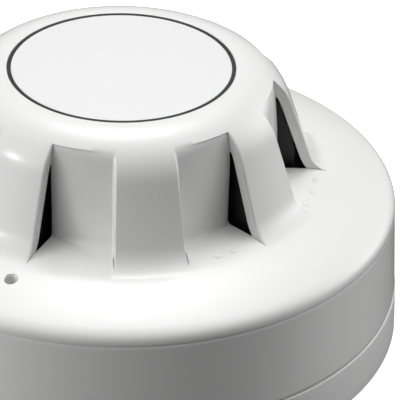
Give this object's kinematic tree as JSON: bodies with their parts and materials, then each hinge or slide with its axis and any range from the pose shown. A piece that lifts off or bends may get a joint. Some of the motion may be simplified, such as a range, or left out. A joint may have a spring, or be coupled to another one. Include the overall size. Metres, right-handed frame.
{
  "type": "point heat detector",
  "caption": "Round ceiling heat detector: a louvred dome head that twists onto a shallow mounting base, with a lock screw, sensing bead and circuit inside.",
  "frame": {"origin": "centre of the mounting base's back face, which lies on the ceiling, or on the table in the pictured pose", "axes": "+Z out of the back face towards the dome; -Y through the middle of the wide rib that has a shallow bay on each side; +X through the fin with an air window at both ends"},
  "size_m": [0.1006, 0.1006, 0.0506],
  "materials": {
    "cover_plastic": "satin white moulding",
    "base_plastic": "satin white moulding",
    "label": "flat satin light grey film",
    "label_ring": "printed black line",
    "black_plastic": "matt black moulding",
    "chassis_plastic": "matt grey moulding",
    "circuit_board": "green solder mask",
    "thermistor": "dipped coating",
    "tinned_wire": "tinned",
    "chip": "moulded epoxy",
    "capacitor": "printed sleeve, plain",
    "resistor": "lacquered",
    "diode": "glass body",
    "red_lens": "clear red",
    "brass": "stamped strip",
    "steel": "zinc plated"
  },
  "bodies": {
    "base": {"base_moulding": "base_plastic", "terminal_clamp_1": "steel", "terminal_clamp_2": "steel", "terminal_clamp_3": "steel", "terminal_clamp_4": "steel", "terminal_contact_1": "brass", "terminal_contact_2": "brass", "terminal_contact_3": "brass", "terminal_contact_4": "brass", "terminal_screw_1": "steel", "terminal_screw_2": "steel", "terminal_screw_3": "steel", "terminal_screw_4": "steel"},
    "head": {"alarm_driver_ic": "chip", "alarm_led": "red_lens", "alarm_transistor": "chip", "bridge_rectifier": "chip", "chassis": "chassis_plastic", "chassis_screw_1": "steel", "chassis_screw_2": "steel", "chassis_screw_3": "steel", "circuit_board": "circuit_board", "comparator_ic": "chip", "contact_blade_1": "brass", "contact_blade_2": "brass", "contact_blade_3": "brass", "contact_blade_4": "brass", "inner_baffle": "black_plastic", "label_ring": "label_ring", "light_pipe": "red_lens", "outer_cover": "cover_plastic", "reference_thermistor": "thermistor", "resistor_1": "resistor", "resistor_2": "resistor", "resistor_3": "resistor", "resistor_4": "resistor", "smoothing_capacitor": "capacitor", "thermistor_bead": "thermistor", "thermistor_lead_left": "tinned_wire", "thermistor_lead_right": "tinned_wire", "thermistor_post": "black_plastic", "type_label": "label", "zener_diode": "diode"},
    "lock_screw": {"lock_screw": "steel"}
  },
  "joints": [
    {"name": "head_twist", "type": "hinge", "parent": "base", "child": "head", "pos_m": [0, 0, 0], "axis": [0, 0, 1], "range_deg": [0, 25]},
    {"name": "lock_travel", "type": "slide", "parent": "head", "child": "lock_screw", "axis": [0, 0, -1], "range_m": [0, 0.003]}
  ]
}
